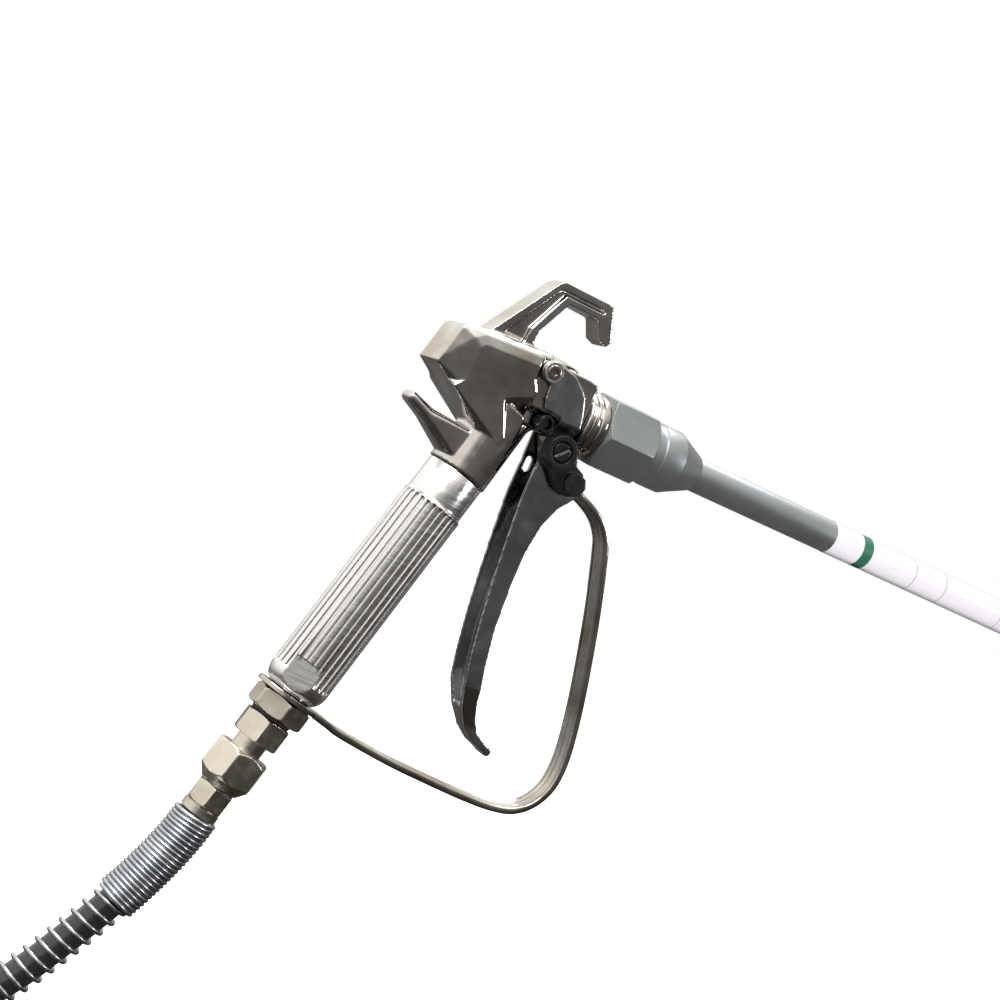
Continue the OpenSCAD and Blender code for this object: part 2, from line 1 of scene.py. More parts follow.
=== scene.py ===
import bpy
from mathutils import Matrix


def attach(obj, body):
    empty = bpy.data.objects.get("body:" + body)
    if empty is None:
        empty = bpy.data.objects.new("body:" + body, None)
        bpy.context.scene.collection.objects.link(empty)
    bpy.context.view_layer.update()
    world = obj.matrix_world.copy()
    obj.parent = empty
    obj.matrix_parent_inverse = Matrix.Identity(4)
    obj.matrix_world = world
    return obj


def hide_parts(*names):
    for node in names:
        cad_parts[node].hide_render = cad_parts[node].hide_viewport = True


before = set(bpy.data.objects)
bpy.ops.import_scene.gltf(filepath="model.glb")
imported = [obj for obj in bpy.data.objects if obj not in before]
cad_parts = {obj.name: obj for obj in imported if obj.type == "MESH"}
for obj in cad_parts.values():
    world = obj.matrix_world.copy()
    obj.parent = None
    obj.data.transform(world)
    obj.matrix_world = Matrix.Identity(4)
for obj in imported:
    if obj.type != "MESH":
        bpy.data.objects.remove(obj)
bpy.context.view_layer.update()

import math
import bpy
import bmesh
import numpy as np
from mathutils import Matrix

# ---- Camera, light and floor ----
# The gun is held up over a pale floor, with a broad lamp above and behind the painter's shoulder. The floor and the
# light aren't part of the gun.
LOOK, ROLL = math.radians(27), math.radians(23.2)
AIM, EYE_DISTANCE = np.array([0.0388, 0.0, 0.0528]), 0.725
right0 = np.array([math.cos(LOOK), -math.sin(LOOK), 0.0])
up0 = np.array([0.0, 0.0, 1.0])
forward = np.array([math.sin(LOOK), math.cos(LOOK), 0.0])
right = math.cos(ROLL) * right0 + math.sin(ROLL) * up0
up = -math.sin(ROLL) * right0 + math.cos(ROLL) * up0
eye = AIM - EYE_DISTANCE * forward
lens = bpy.data.cameras.new("camera")
lens.sensor_width, lens.lens, lens.clip_start = 36.0, 63.0, 0.01
camera = bpy.data.objects.new("camera", lens)
bpy.context.collection.objects.link(camera)
placed = np.eye(4)
placed[:3, 0], placed[:3, 1], placed[:3, 2], placed[:3, 3] = right, up, -forward, eye
camera.matrix_world = Matrix(placed.tolist())
bpy.context.scene.camera = camera
bpy.context.scene.view_settings.view_transform = "Standard"


def lamp(name, at, target, size, power, colour=(1, 1, 1)):
    """Square soft lamp at a point, turned to face its target."""
    data = bpy.data.lights.new(name, "AREA")
    data.shape, data.size, data.energy, data.color = "SQUARE", size, power, colour
    o = bpy.data.objects.new(name, data)
    bpy.context.collection.objects.link(o)
    z = np.array(at, float) - np.array(target, float)
    z /= np.linalg.norm(z)
    x = np.cross([0.0, 0.0, 1.0] if abs(z[2]) < 0.99 else [1.0, 0.0, 0.0], z)
    x /= np.linalg.norm(x)
    m = np.eye(4)
    m[:3, 0], m[:3, 1], m[:3, 2], m[:3, 3] = x, np.cross(z, x), z, at
    o.matrix_world = Matrix(m.tolist())


lamp("key_lamp", (-0.55, -0.75, 1.15), (0.05, 0, 0), 0.7, 16)
lamp("top_lamp", (0.25, 0.35, 1.2), (0.1, 0, 0), 0.8, 12)
lamp("side_lamp", (1.3, -0.9, 0.45), (0.1, 0, 0), 0.35, 5)
world = bpy.data.worlds.new("room")
bpy.context.scene.world = world
world.use_nodes = True
# to the lens the room is plain white; to the gun it is dark below, with a pale band from mid-height up and a slow
# unevenness in it
room = world.node_tree
room.nodes.clear()
room_out = room.nodes.new("ShaderNodeOutputWorld")
seen_or_lit = room.nodes.new("ShaderNodeMixShader")
walls = room.nodes.new("ShaderNodeBackground")
plain_white = room.nodes.new("ShaderNodeBackground")
ray_kind = room.nodes.new("ShaderNodeLightPath")
wall_tone = room.nodes.new("ShaderNodeValToRGB")
direction = room.nodes.new("ShaderNodeTexCoord")
height = room.nodes.new("ShaderNodeVectorMath")
unevenness = room.nodes.new("ShaderNodeTexNoise")
uneven_height = room.nodes.new("ShaderNodeMath")
height_share = room.nodes.new("ShaderNodeMapRange")
height.operation = "DOT_PRODUCT"
height.inputs[1].default_value = up
room.links.new(direction.outputs["Generated"], height.inputs[0])
room.links.new(direction.outputs["Generated"], unevenness.inputs["Vector"])
unevenness.inputs["Scale"].default_value, unevenness.inputs["Detail"].default_value = 2.2, 2.0
uneven_height.operation = "MULTIPLY_ADD"
uneven_height.inputs[1].default_value = 0.5
room.links.new(unevenness.outputs["Fac"], uneven_height.inputs[0])
room.links.new(height.outputs["Value"], uneven_height.inputs[2])
room.links.new(uneven_height.outputs[0], height_share.inputs["Value"])
height_share.inputs["From Min"].default_value, height_share.inputs["From Max"].default_value = -0.75, 1.25
room.links.new(height_share.outputs[0], wall_tone.inputs[0])
wall_tones = [
    (0.0, (0.035, 0.032, 0.029)), (0.22, (0.07, 0.062, 0.055)), (0.36, (0.15, 0.145, 0.14)),
    (0.50, (0.20, 0.195, 0.19)), (0.60, (0.62, 0.60, 0.56)), (0.72, (1.15, 1.11, 1.02)), (1.0, (1.4, 1.38, 1.34)),
]


def fill_ramp(ramp, stops):
    """Colour ramp with its stops at the given places, each a place and a colour of three parts."""
    stop = ramp.color_ramp.elements
    stop[0].position, stop[0].color = stops[0][0], (*stops[0][1], 1)
    stop[1].position, stop[1].color = stops[-1][0], (*stops[-1][1], 1)
    for place, colour in stops[1:-1]:
        stop.new(place).color = (*colour, 1)


fill_ramp(wall_tone, wall_tones)
room.links.new(wall_tone.outputs[0], walls.inputs[0])
plain_white.inputs[0].default_value = (1, 1, 1, 1)
room.links.new(ray_kind.outputs["Is Camera Ray"], seen_or_lit.inputs[0])
room.links.new(walls.outputs[0], seen_or_lit.inputs[1])
room.links.new(plain_white.outputs[0], seen_or_lit.inputs[2])
room.links.new(seen_or_lit.outputs[0], room_out.inputs[0])

FLOOR_Z = -0.240
floor_mesh = bpy.data.meshes.new("floor")
floor_corners = [(x, y, FLOOR_Z) for x, y in ((-9, -9), (9, -9), (9, 9), (-9, 9))]
floor_mesh.from_pydata(floor_corners, [], [(0, 1, 2, 3)])
floor = bpy.data.objects.new("floor", floor_mesh)
bpy.context.collection.objects.link(floor)
floor.visible_glossy = False
floor_paint = bpy.data.materials.new("pale_floor")
floor_paint.use_nodes = True
floor_shader = floor_paint.node_tree.nodes["Principled BSDF"]
floor_shader.inputs["Base Color"].default_value = (0.86, 0.86, 0.86, 1)
floor_shader.inputs["Roughness"].default_value = 0.9
floor_shader.inputs["Emission Color"].default_value = (1, 1, 1, 1)
floor_shader.inputs["Emission Strength"].default_value = 0.42
floor_mesh.materials.append(floor_paint)

# ---- Whip hose ----
# A stiff, high-pressure paint hose, 12 mm across: a braided core in a glossy black nylon jacket. It hangs from its stem
# in a shallow curve, lands on the floor and is wound in a coil of two and a half turns.
HOSE_R, COIL_R, COIL_TURNS = 0.006, 0.062, 2.5
LAND_AT = np.array([-0.166, 0.0, -0.234])
LEAN = math.radians(15.5)
down_grip = np.array([-math.sin(LEAN), -math.cos(LEAN)])
HOSE_STARTS = 0.113
hose_points = np.array([
    HOSE_STARTS * down_grip, (HOSE_STARTS + 0.008) * down_grip, (-0.036, -0.1265), (-0.0405, -0.1365), (-0.046, -0.147),
    (-0.054, -0.1605), (-0.0625, -0.174), (-0.0725, -0.1885), (-0.088, -0.206), (-0.107, -0.221), (-0.129, -0.231),
    (-0.149, -0.234), (-0.166, -0.234),
])
hose_points = np.insert(hose_points, 1, 0, axis=1)


def smooth_through(points, per_span, end_dir):
    """Curve through the points: each span is the cubic whose end slopes are half the chord between its neighbours.
    It leaves the last point in the given direction."""
    last_step = np.linalg.norm(points[-1] - points[-2])
    p = np.vstack([2 * points[0] - points[1], points, points[-1] + end_dir * last_step])
    t = np.linspace(0, 1, per_span, endpoint=False)[:, None, None]
    a, b, c, d = (p[None, i : len(p) - 3 + i] for i in range(4))
    run = 0.5 * (2 * b + (c - a) * t + (2 * a - 5 * b + 4 * c - d) * t**2 + (3 * b - a - 3 * c + d) * t**3)
    return np.vstack([run.transpose(1, 0, 2).reshape(-1, 3), points[-1:]])


hang = smooth_through(hose_points, 8, np.array([-1.0, 0, 0]))
# each turn lies flat, then climbs by the hose's thickness over its last six tenths; the last half turn lifts a little
turn = np.linspace(0, COIL_TURNS, 241)[1:]
climb = np.clip((turn % 1 - 0.4) / 0.6, 0, 1)
lift = 2 * HOSE_R * (np.floor(turn) + climb**2 * (3 - 2 * climb)) + 0.0031 * np.clip((turn - 2) / 0.5, 0, 1) ** 2
angle = -math.pi / 2 - 2 * math.pi * turn
coil = np.stack([COIL_R * np.cos(angle), COIL_R + COIL_R * np.sin(angle), lift], 1) + LAND_AT
hose_line = np.vstack([hang, coil])


def normals_along(line):
    """Two normals at each point of a line, square to it and to each other: the first starts square to Y and is carried
    from point to point with the least turning, the second is the tangent crossed with the first."""
    step = np.gradient(line, axis=0)
    t = step / np.linalg.norm(step, axis=1)[:, None]
    n = np.zeros_like(t)
    n[0] = np.cross(t[0], [0.0, 1.0, 0.0])
    n[0] /= np.linalg.norm(n[0])
    for i in range(1, len(t)):
        carried = n[i - 1] - t[i] * np.dot(n[i - 1], t[i])
        n[i] = carried / np.linalg.norm(carried)
    return n, np.cross(t, n)


def put_mesh(name, verts, faces, sharp=35.0):
    """Mesh object from arrays of vertices and faces, smooth but for edges sharper than the given angle in degrees."""
    mesh = bpy.data.meshes.new(name)
    mesh.from_pydata([tuple(v) for v in verts.tolist()], [], [tuple(f) for f in faces])
    mesh.validate()
    bm = bmesh.new()
    bm.from_mesh(mesh)
    bmesh.ops.remove_doubles(bm, verts=bm.verts, dist=1e-6)
    bmesh.ops.recalc_face_normals(bm, faces=bm.faces)
    bm.to_mesh(mesh)
    bm.free()
    mesh.shade_smooth()
    mesh.set_sharp_from_angle(angle=math.radians(sharp))
    o = bpy.data.objects.new(name, mesh)
    bpy.context.collection.objects.link(o)
    return o


def grid_faces(rows, cols, closed_rows=False):
    """Quads between neighbouring rows and columns of a grid of rows times cols points, each row closed on itself."""
    r = np.arange(rows if closed_rows else rows - 1)
    c = np.arange(cols)
    i, j = (a.ravel() for a in np.meshgrid(r, c, indexing="ij"))
    i2, j2 = (i + 1) % rows, (j + 1) % cols
    return np.stack([i * cols + j, i * cols + j2, i2 * cols + j2, i2 * cols + j], 1).tolist()


def end_faces(rows, cols):
    """The two flat faces that close the first and the last row of a grid whose rows are closed on themselves."""
    return [list(range(cols)), list(range((rows - 1) * cols, rows * cols))]


def tube_along(line, radius, sides, n, b):
    """Points of a round tube carried along a line, a row at each point of it: the point plus the radius times its two
    normals, turned through a full circle."""
    a = np.linspace(0, 2 * math.pi, sides, endpoint=False)
    return line[:, None] + radius * (np.cos(a)[None, :, None] * n[:, None] + np.sin(a)[None, :, None] * b[:, None])


def surface(name, colour, metallic, rough, **sockets):
    """Principled surface with a colour, a metallic share and a mean roughness, and any other sockets by name."""
    m = bpy.data.materials.new(name)
    m.use_nodes = True
    p = m.node_tree.nodes["Principled BSDF"]
    p.inputs["Base Color"].default_value = (*colour, 1)
    p.inputs["Metallic"].default_value = metallic
    p.inputs["Roughness"].default_value = rough
    for key, value in sockets.items():
        p.inputs[key.replace("_", " ")].default_value = value
    return m


def noise(m, scale, detail=4.0, stretch=(1, 1, 1)):
    """Noise on the piece's own coordinates, stretched along each axis by how much finer it runs there."""
    n = m.node_tree.nodes
    co, mp, tx = n.new("ShaderNodeTexCoord"), n.new("ShaderNodeMapping"), n.new("ShaderNodeTexNoise")
    mp.inputs["Scale"].default_value = stretch
    tx.inputs["Scale"].default_value = scale
    tx.inputs["Detail"].default_value = detail
    m.node_tree.links.new(co.outputs["Object"], mp.inputs["Vector"])
    m.node_tree.links.new(mp.outputs[0], tx.inputs["Vector"])
    return tx.outputs["Fac"]


def vary(m, source, socket, low, high):
    """The source, from 0.35 to 0.65, drives a socket from low to high; colours are mixed, numbers mapped."""
    n, p = m.node_tree.nodes, m.node_tree.nodes["Principled BSDF"]
    if isinstance(low, tuple):
        r = n.new("ShaderNodeValToRGB")
        fill_ramp(r, [(0.35, low), (0.65, high)])
        m.node_tree.links.new(source, r.inputs[0])
    else:
        r = n.new("ShaderNodeMapRange")
        r.inputs["From Min"].default_value, r.inputs["From Max"].default_value = 0.35, 0.65
        r.inputs["To Min"].default_value, r.inputs["To Max"].default_value = low, high
        m.node_tree.links.new(source, r.inputs["Value"])
    m.node_tree.links.new(r.outputs[0], p.inputs[socket])


def relief(m, source, strength, height_mm=0.1):
    """The source raises the surface by up to the given height, at the given strength."""
    n = m.node_tree.nodes
    b = n.new("ShaderNodeBump")
    b.inputs["Strength"].default_value = strength
    b.inputs["Distance"].default_value = height_mm / 1000
    m.node_tree.links.new(source, b.inputs["Height"])
    m.node_tree.links.new(b.outputs[0], n["Principled BSDF"].inputs["Normal"])


jacket = surface("black_hose_jacket", (0.012, 0.012, 0.014), 0.0, 0.16, Coat_Weight=0.5, Coat_Roughness=0.08)
vary(jacket, noise(jacket, 260), "Roughness", 0.12, 0.26)
relief(jacket, noise(jacket, 900), 0.25)
HOSE_SIDES = 32
hose_skin = tube_along(hose_line, HOSE_R, HOSE_SIDES, *normals_along(hose_line))
hose = put_mesh("whip_hose", hose_skin.reshape(-1, 3),
                grid_faces(len(hose_line), HOSE_SIDES) + end_faces(len(hose_line), HOSE_SIDES))
hose.data.materials.append(jacket)
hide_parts("hose", "hose_coil")
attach(hose, "gun")

# ---- Spring guards on the hose ----
# Two zinc-plated steel springs keep the hose from kinking at its stem: a close-wound one of 23 turns, then a
# thinner one wound open over the first part of the hose.
along = np.concatenate([[0], np.cumsum(np.linalg.norm(np.diff(hang, axis=0), axis=1))])


def coil_spring(name, start, end, mean_r, wire_r, turns, taper=0.0, sides=10):
    """Wire wound round the hose: the centreline at each distance from its start, plus the mean radius, less a taper
    that grows along it, turned round it that many times; the wire's own circle lies across the winding."""
    s = np.linspace(start, end, int(turns * 28) + 1)
    centre = np.stack([np.interp(s, along, hang[:, k]) for k in range(3)], 1)
    n, b = normals_along(centre)
    a = 2 * math.pi * turns * (s - start) / (end - start)
    r = (mean_r - taper * (s - start) / (end - start))[:, None]
    line = centre + r * (np.cos(a)[:, None] * n + np.sin(a)[:, None] * b)
    run = np.gradient(line, axis=0)
    run /= np.linalg.norm(run, axis=1)[:, None]
    out = (line - centre) / np.linalg.norm(line - centre, axis=1)[:, None]
    wire = tube_along(line, wire_r, sides, out, np.cross(run, out))
    return put_mesh(name, wire.reshape(-1, 3), grid_faces(len(s), sides) + end_faces(len(s), sides), 60)


zinc = surface("zinc_wire", (0.50, 0.53, 0.58), 1.0, 0.28)
vary(zinc, noise(zinc, 420), "Roughness", 0.2, 0.38)
vary(zinc, noise(zinc, 130), "Base Color", (0.42, 0.45, 0.50), (0.60, 0.62, 0.66))
relief(zinc, noise(zinc, 1500), 0.2, 0.05)
tight = coil_spring("close_spring", 0.0005, 0.0452, 0.0086, 0.00095, 23.5)
tight.data.materials.append(zinc)
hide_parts("spring_tight")
open_wound = coil_spring("open_spring", 0.040, 0.158, 0.0071, 0.0009, 21, 0.0002)
open_wound.data.materials.append(zinc)
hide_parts("spring_open")
for o in (tight, open_wound):
    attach(o, "gun")

# ---- Head casting ----
# Zinc die casting, polished and chrome plated: the rear block with its shallow plain field, the hook, the tang, the
# ribbed underside, the cheeks that the trigger hangs on and the short neck that the grip screws into.
chrome = surface("polished_chrome", (0.66, 0.645, 0.63), 1.0, 0.07)
vary(chrome, noise(chrome, 190), "Roughness", 0.035, 0.13)
vary(chrome, noise(chrome, 42), "Base Color", (0.42, 0.37, 0.32), (0.66, 0.66, 0.655))
relief(chrome, noise(chrome, 48, 2), 1.0, 0.9)


def rounded_copy(node, name, cell, passes, body, material):
    """Copy of a CAD node, remeshed in cells of the given size, in metres, and relaxed: each point moves halfway to the
    mean of its neighbours, that many times, which rounds every edge as casting or pressing does."""
    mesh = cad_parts[node].data.copy()
    o = bpy.data.objects.new(name, mesh)
    bpy.context.collection.objects.link(o)
    bm = bmesh.new()
    bm.from_mesh(mesh)
    bmesh.ops.remove_doubles(bm, verts=bm.verts, dist=1e-6)
    bm.to_mesh(mesh)
    bm.free()
    cells = o.modifiers.new("cells", "REMESH")
    cells.mode, cells.voxel_size, cells.adaptivity = "VOXEL", cell, 0.0
    relaxed = o.modifiers.new("relaxed", "SMOOTH")
    relaxed.factor, relaxed.iterations = 0.5, passes
    evaluated = o.evaluated_get(bpy.context.evaluated_depsgraph_get())
    done = bpy.data.meshes.new_from_object(evaluated)
    o.modifiers.clear()
    o.data = done
    done.name = name
    done.materials.clear()
    done.materials.append(material)
    done.shade_smooth()
    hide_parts(node)
    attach(o, body)


rounded_copy("head", "head_casting", 0.0005, 3, "gun", chrome)

# ---- Grip ----
# Aluminium tube, turned bright: a smooth collar at the top, cut flutes along its length, a rounded shoulder at the
# foot and two milled flats for a wrench. It screws into the head's neck and holds the filter.
def place_on_grip(x, y, z):
    """From the grip's own frame, in mm, Z up its axis, to the gun's, in metres: turned about Y by the grip's lean."""
    return np.stack([x * math.cos(LEAN) + z * math.sin(LEAN), y, -x * math.sin(LEAN) + z * math.cos(LEAN)], -1) / 1000


SPRAY_AT = np.array([100 * math.sin(LEAN), 0.0, 100 * math.cos(LEAN)])


def place_on_spray(x, y, z):
    """From the frame of the spray axis, in mm, to the gun's, in metres."""
    return np.stack([x + SPRAY_AT[0], y + SPRAY_AT[1], z + SPRAY_AT[2]], -1) / 1000


def turned(name, outline, placing, across=None, count=144, closed=False, sharp=35.0):
    """Ring surface from an outline of (radius, height) in mm: at each angle the radius is the outline's, or the lower
    of it and across(angle, height). The outline's two ends are joined to each other when closed is set."""
    r, h = np.array(outline, float).T
    a = np.linspace(0, 2 * math.pi, count, endpoint=False)
    rr = np.repeat(r[:, None], count, 1)
    if across is not None:
        rr = np.minimum(rr, across(a[None], h[:, None]))
    hh = np.repeat(h[:, None], count, 1)
    verts = placing(rr * np.cos(a), rr * np.sin(a), hh)
    return put_mesh(name, verts.reshape(-1, 3), grid_faces(len(r), count, closed), sharp)


GRIP_R, FLUTES, FLUTES_TOP, FLUTES_LOW = 13.5, 28, 41.5, -46
FLAT_R, FLATS_TOP, FLATS_AT = 11.8, -39, math.radians(63)


def fluted_radius(a, h):
    """Radius of the grip at an angle and a height: flutes are arcs that sink 0.8 mm, fading out over 1.2 mm at their
    ends; the two flats at the foot cut it at 11.8 mm from the axis."""
    phase = ((a / (2 * math.pi) * FLUTES) % 1) * 2 - 1
    dip = 0.8 * np.clip(1 - (phase / 0.62) ** 2, 0, None) ** 0.6
    ends = np.clip((FLUTES_TOP - h) / 1.2, 0, 1) * np.clip((h - FLUTES_LOW) / 1.2, 0, 1)
    flat = np.where(h < FLATS_TOP, FLAT_R, 40.0)
    from_flat = np.abs(((a - FLATS_AT) + math.pi / 2) % math.pi - math.pi / 2)
    return np.minimum(GRIP_R - dip * ends, flat / np.cos(np.clip(from_flat, 0, 1.2)))


collar_end = [(0.0, 57.7), (11.8, 57.7), (12.4, 57.5), (12.7, 57.0), (12.7, 43.2), (12.75, 42.4), (13.1, 41.9),
              (13.4, 41.6)]
fluted_heights = (41.4, 41.0, 40.6, 40.2, 39, 20, 0, -20, -38.5, -39.01, -41, -44.6, -45.0, -45.4, -46.0)
shoulder = [(13.48, -46.6), (13.38, -47.6), (13.2, -48.6), (12.9, -49.6), (12.45, -50.6), (11.9, -51.5), (11.2, -52.3),
            (10.4, -53.0), (9.6, -53.4), (0.0, -53.4)]
grip_outline = collar_end + [(GRIP_R, z) for z in fluted_heights] + shoulder
bright = surface("bright_turned_aluminium", (0.80, 0.80, 0.81), 1.0, 0.2)
vary(bright, noise(bright, 60, 5, (1, 1, 14)), "Roughness", 0.13, 0.3)
relief(bright, noise(bright, 110, 5, (1, 1, 10)), 0.35, 0.08)
grip = turned("fluted_grip", grip_outline, place_on_grip, fluted_radius, FLUTES * 16, sharp=40)
grip.data.materials.append(bright)
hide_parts("grip")
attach(grip, "gun")

# ---- Swivel and hose fittings ----
# Nickel-plated steel hexagons under the grip: the nut that holds the guard's ring, the swivel's body on its seal, then
# the hose's own nut and crimped stem. Each hexagon's corners are cut by a cone at both ends.
def hexagon(af, turn=0.0, low=-1e9):
    """Radius of a hexagon, af across its flats, at each angle: its first corner is at turn degrees, and below the
    height low it is round."""
    def across(a, h):
        return np.where(h < low, 1e9, af / 2 / np.cos((a - math.radians(turn)) % (math.pi / 3) - math.pi / 6))
    return across


def hex_outline(af, low, high, cut=1.2, bore=0.0):
    """Outline of a hexagon bar: flat end faces, then a cone that clears the corners over cut mm at each end."""
    corner = af / math.sqrt(3)
    cone = [(af / 2 - 0.25 + (corner - af / 2 + 0.3) * k / 8, cut * k / 8) for k in range(9)]
    sides = [(corner + 0.05, z) for z in np.linspace(low + cut, high - cut, 5)[1:-1]]
    return ([(bore, low)] + [(r, low + z) for r, z in cone] + sides
            + [(r, high - z) for r, z in reversed(cone)] + [(bore, high)])


nickel = surface("nickel_plated_steel", (0.60, 0.565, 0.50), 1.0, 0.26)
vary(nickel, noise(nickel, 210), "Roughness", 0.16, 0.36)
vary(nickel, noise(nickel, 45), "Base Color", (0.50, 0.46, 0.40), (0.68, 0.64, 0.57))
relief(nickel, noise(nickel, 500), 0.25, 0.06)
swivel_stub = [(0, -88), (6.6, -88), (6.6, -76.6)]
hose_nut_cone = [(0, -99.5), (7.8, -99.5), (8.4, -99.1), (10.7, -96.0)]
crimp = [(0, -113), (7.4, -113), (8, -112.6), (8, -109.3), (7.6, -108.9)]
fittings = [
    ("swivel_nut", hex_outline(22.5, -64.5, -55.75, 1.0), hexagon(22.5, 25)),
    ("swivel_body", swivel_stub + hex_outline(19, -76.5, -66.1, 0.8)[1:], hexagon(19, 12)),
    ("hose_nut", hose_nut_cone + hex_outline(22, -96, -82, 1.8)[1:], hexagon(22, 1)),
    ("hose_stem", crimp + hex_outline(15, -108.8, -99.6, 0.9)[1:], hexagon(15, 8, -108.9)),
]
for node, outline, across in fittings:
    o = turned(node + "_plated", outline, place_on_grip, across, 180)
    o.data.materials.append(nickel)
    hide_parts(node)
    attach(o, "gun")

# ---- Swivel seal, far fitting and the coil's strap ----
# A black ring seals the swivel. The hose's other end has the same crimped stem and a loose nut with its thread inside;
# a strap with a buckle holds the coil.
rubber = surface("black_rubber", (0.02, 0.02, 0.02), 0.0, 0.55)
vary(rubber, noise(rubber, 700), "Roughness", 0.45, 0.7)
relief(rubber, noise(rubber, 900), 0.3, 0.05)
ring_outline = [(5.7, -65.9), (8.7, -65.9), (9, -65.6), (9, -64.9), (8.7, -64.7), (5.7, -64.7)]
ring = turned("swivel_seal", ring_outline, place_on_grip, None, 96, True)
ring.data.materials.append(rubber)
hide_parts("swivel_ring")
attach(ring, "gun")


def place_on_far(x, y, z):
    """From the far fitting's frame, in mm, Z along it away from the coil, to the gun's, in metres."""
    return np.stack([z - 166, y + 124, -x - 206], -1) / 1000


ferrule_outline = [
    (2.4, 0.05), (6.9, 0.05), (7.5, 0.6), (7.5, 4), (7.1, 4.4), (7.1, 5.2), (7.5, 5.6), (7.5, 9.6), (7.1, 10),
    (7.1, 10.8), (7.5, 11.2), (7.5, 16.4), (6.9, 17), (5, 17), (5, 28), (2.4, 28),
]
nut_thread = [
    (6.9, 40), (6.6, 39.6), (6.6, 38.6), (6.9, 38.2), (6.6, 37.8), (6.6, 36.8), (6.9, 36.4), (6.6, 36.0), (6.6, 34),
    (5.3, 34),
]
far_ferrule = turned("far_ferrule", ferrule_outline, place_on_far, None, 96, True)
far_nut_outline = hex_outline(18, 22, 40, 1.4, 5.3)[:-1] + nut_thread
far_nut = turned("far_swivel_nut", far_nut_outline, place_on_far, hexagon(18, 30), 180, True)
for o, node in ((far_ferrule, "far_stem"), (far_nut, "far_nut")):
    o.data.materials.append(nickel)
    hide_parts(node)
    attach(o, "gun")
strap_black = surface("strap_nylon", (0.03, 0.03, 0.032), 0.0, 0.6)
relief(strap_black, noise(strap_black, 1300, 2, (1, 4, 1)), 0.6, 0.1)
# the strap's loop in X and Z, up and over the coil, then back along its other face, drawn across its width in Y
strap_face = np.array([
    (-0.2208, -0.2385), (-0.2208, -0.2035), (-0.2228, -0.2012), (-0.2332, -0.2012), (-0.2352, -0.2035),
    (-0.2352, -0.2385),
])
strap_thick = np.array([(0.0008, 0), (0.0008, 0.0006), (0, 0.0009), (0, 0.0009), (-0.0008, 0.0006), (-0.0008, 0)])
strap_loop = np.vstack([strap_face, (strap_face + strap_thick)[::-1]])
strap_width = np.array([-6.0, -5.4, 5.4, 6.0]) / 1000 + COIL_R
strap_rows, strap_cols = len(strap_width), len(strap_loop)
strap_verts = np.stack([
    np.repeat(strap_loop[:, 0][None], strap_rows, 0), np.repeat(strap_width[:, None], strap_cols, 1),
    np.repeat(strap_loop[:, 1][None], strap_rows, 0),
], -1)
strap = put_mesh("coil_strap", strap_verts.reshape(-1, 3),
                 grid_faces(strap_rows, strap_cols) + end_faces(strap_rows, strap_cols))
strap.data.materials.append(strap_black)
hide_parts("coil_tie")
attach(strap, "gun")

# ---- Trigger guard ----
# Steel strip rolled into a channel with three lengthwise ribs, bent round the fingers and chromed. Its foot is a ring
# under the grip, clamped by the swivel nut; its front eye is screwed into a lug under the head.
guard_bend = np.array([
    (-29.2, -152.3), (-22, -154.4), (-14.6, -156.6), (10, -160.8), (33, -163.4), (50, -164.9), (63.5, -165.3),
    (74, -163.8), (82, -158.8), (87.2, -151), (89, -142), (88.3, -130), (84.7, -111), (79.3, -89.6), (73.6, -69.5),
    (66, -47), (62.8, -40.4), (57.6, -35), (51, -31.4), (44, -28.6), (38.6, -24.6), (35, -20.6), (33, -17.6),
])
# the strip's surface is its centreline in X and Z plus the section's rise along the bend's outward normal; near the
# eye the section is a third narrower and little more than half as thick
strip_line = smooth_through(np.insert(guard_bend, 1, 0, axis=1), 7, np.array([-0.4, 0, 0.9]))[:, [0, 2]]
strip_run = np.gradient(strip_line, axis=0)
strip_run /= np.linalg.norm(strip_run, axis=1)[:, None]
strip_out = np.stack([strip_run[:, 1], -strip_run[:, 0]], 1)
half_y = np.array([5.5, 5.3, 4.9, 4.4, 3.9, 3.5, 2.2, 1.3, 0.8])
half_rise = np.array([0.9, 1.25, 1.45, 1.4, 1.1, 0.8, 0.8, 0.8, 1.0])
across_y = np.concatenate([-half_y, [0], half_y[::-1]])
rise = np.concatenate([half_rise, [1.1], half_rise[::-1]])
section = np.vstack([np.stack([across_y, rise], 1), np.stack([across_y[::-1], -rise], 1)])
near_eye = np.clip((41.5 - strip_line[:, 0]) / 4, 0, 1) * (strip_line[:, 1] > -60)
drawn_in = (1 - near_eye * (1 - 3.6 / 5.5))[:, None]
thinned = (1 - 0.45 * near_eye)[:, None]
strip_x, strip_z = (
    strip_line[:, None, k] + strip_out[:, None, k] * section[None, :, 1] * thinned for k in range(2)
)
strip_y = section[None, :, 0] * drawn_in
guard = put_mesh("guard_strip", place_on_spray(strip_x, strip_y, strip_z).reshape(-1, 3),
                 grid_faces(len(strip_line), len(section)) + end_faces(len(strip_line), len(section)), 50)
clamp_outline = [(8.7, -55.6), (13.6, -55.6), (14, -55.3), (14, -53.9), (13.6, -53.55), (8.7, -53.55)]
guard_ring = turned("guard_ring", clamp_outline, place_on_grip, None, 120, True)


def bar_across(name, at, outline):
    """Turned piece on an axis across the gun, through a point in X and Z of the spray frame; heights run along Y."""
    return turned(name, outline, lambda x, y, z: place_on_spray(x + at[0], z, y + at[1]), count=72)


